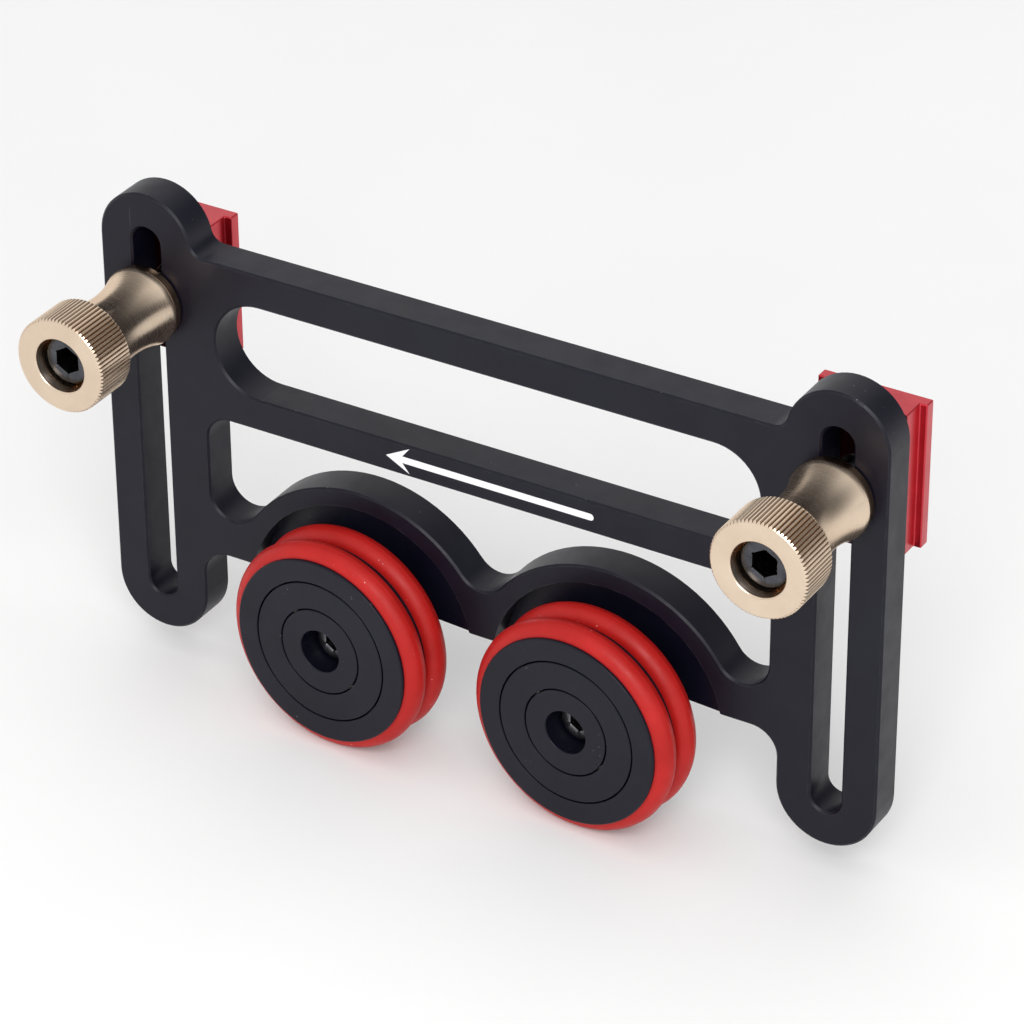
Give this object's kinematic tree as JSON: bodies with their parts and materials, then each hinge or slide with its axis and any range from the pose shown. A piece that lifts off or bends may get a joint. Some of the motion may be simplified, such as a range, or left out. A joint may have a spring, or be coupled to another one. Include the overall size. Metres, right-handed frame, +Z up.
{
  "type": "roller stock guide",
  "caption": "Fence-mounted stock guide: slotted plate with two toed-in one-way wheels on rubber rings, knurled clamp knobs and T-track blocks.",
  "frame": {"origin": "on the plate's back face, which bears on the fence, at the middle of its middle bar", "axes": "+X along the fence, against the feed; +Y into the fence, square to the plate; +Z up"},
  "size_m": [0.171, 0.0451, 0.1031],
  "materials": {
    "black_anodised": "matte black anodised",
    "gold_anodised": "champagne gold anodised, satin turned",
    "red_anodised": "red anodised, satin",
    "red_rubber": "smooth moulded rubber",
    "black_oxide_steel": "black oxide",
    "zinc_steel": "bright zinc plated",
    "bearing_steel": "ground",
    "nylon": "moulded nylon"
  },
  "bodies": {
    "plate": {"guide_plate": "black_anodised", "axle_sleeve_left": "black_anodised", "axle_screw_left": "zinc_steel", "rear_spacer_left": "bearing_steel", "clutch_inner_race_left": "bearing_steel", "axle_sleeve_right": "black_anodised", "axle_screw_right": "zinc_steel", "rear_spacer_right": "bearing_steel", "clutch_inner_race_right": "bearing_steel"},
    "left_wheel": {"wheel_hub_left": "black_anodised", "front_tyre_left": "red_rubber", "rear_tyre_left": "red_rubber", "cover_ring_left": "black_anodised", "clutch_outer_race_left": "bearing_steel", "clutch_cage_left": "nylon", "clutch_rollers_left": "bearing_steel"},
    "left_carriage": {"knob_washer_left": "gold_anodised"},
    "left_knob": {"clamp_knob_left": "gold_anodised", "clamp_screw_left": "black_oxide_steel"},
    "left_insert": {"thread_insert_left": "bearing_steel"},
    "left_block": {"track_block_left": "red_anodised"},
    "right_wheel": {"wheel_hub_right": "black_anodised", "front_tyre_right": "red_rubber", "rear_tyre_right": "red_rubber", "cover_ring_right": "black_anodised", "clutch_outer_race_right": "bearing_steel", "clutch_cage_right": "nylon", "clutch_rollers_right": "bearing_steel"},
    "right_carriage": {"knob_washer_right": "gold_anodised"},
    "right_knob": {"clamp_knob_right": "gold_anodised", "clamp_screw_right": "black_oxide_steel"},
    "right_insert": {"thread_insert_right": "bearing_steel"},
    "right_block": {"track_block_right": "red_anodised"}
  },
  "joints": [
    {"name": "left_wheel_spin", "type": "hinge", "parent": "plate", "child": "left_wheel", "pos_m": [-0.0274, -0.008, -0.0395], "axis": [-0.0698, -0.9976, 0], "continuous": true},
    {"name": "left_slot_slide", "type": "slide", "parent": "plate", "child": "left_carriage", "axis": [0, 0, 1], "range_m": [-0.0636, 0.0124]},
    {"name": "left_knob_turn", "type": "hinge", "parent": "left_carriage", "child": "left_knob", "pos_m": [-0.0745, -0.008, 0.0183], "axis": [0, -1, 0], "range_deg": [0, 720]},
    {"name": "left_insert_travel", "type": "slide", "parent": "left_carriage", "child": "left_insert", "axis": [0, 1, 0], "range_m": [0, 0.002]},
    {"name": "left_block_swivel", "type": "hinge", "parent": "left_insert", "child": "left_block", "pos_m": [-0.0745, 0.004, 0.0183], "axis": [0, -1, 0], "continuous": true},
    {"name": "right_wheel_spin", "type": "hinge", "parent": "plate", "child": "right_wheel", "pos_m": [0.0274, -0.008, -0.0395], "axis": [-0.0698, -0.9976, 0], "continuous": true},
    {"name": "right_slot_slide", "type": "slide", "parent": "plate", "child": "right_carriage", "axis": [0, 0, 1], "range_m": [-0.0657, 0.0103]},
    {"name": "right_knob_turn", "type": "hinge", "parent": "right_carriage", "child": "right_knob", "pos_m": [0.0745, -0.008, 0.0204], "axis": [0, -1, 0], "range_deg": [0, 720]},
    {"name": "right_insert_travel", "type": "slide", "parent": "right_carriage", "child": "right_insert", "axis": [0, 1, 0], "range_m": [0, 0.002]},
    {"name": "right_block_swivel", "type": "hinge", "parent": "right_insert", "child": "right_block", "pos_m": [0.0745, 0.004, 0.0204], "axis": [0, -1, 0], "continuous": true}
  ],
  "couplings": [
    {"joint": "left_insert_travel", "follows": "left_knob_turn", "m_per_rad": 0.00015915},
    {"joint": "right_insert_travel", "follows": "right_knob_turn", "m_per_rad": 0.00015915}
  ]
}
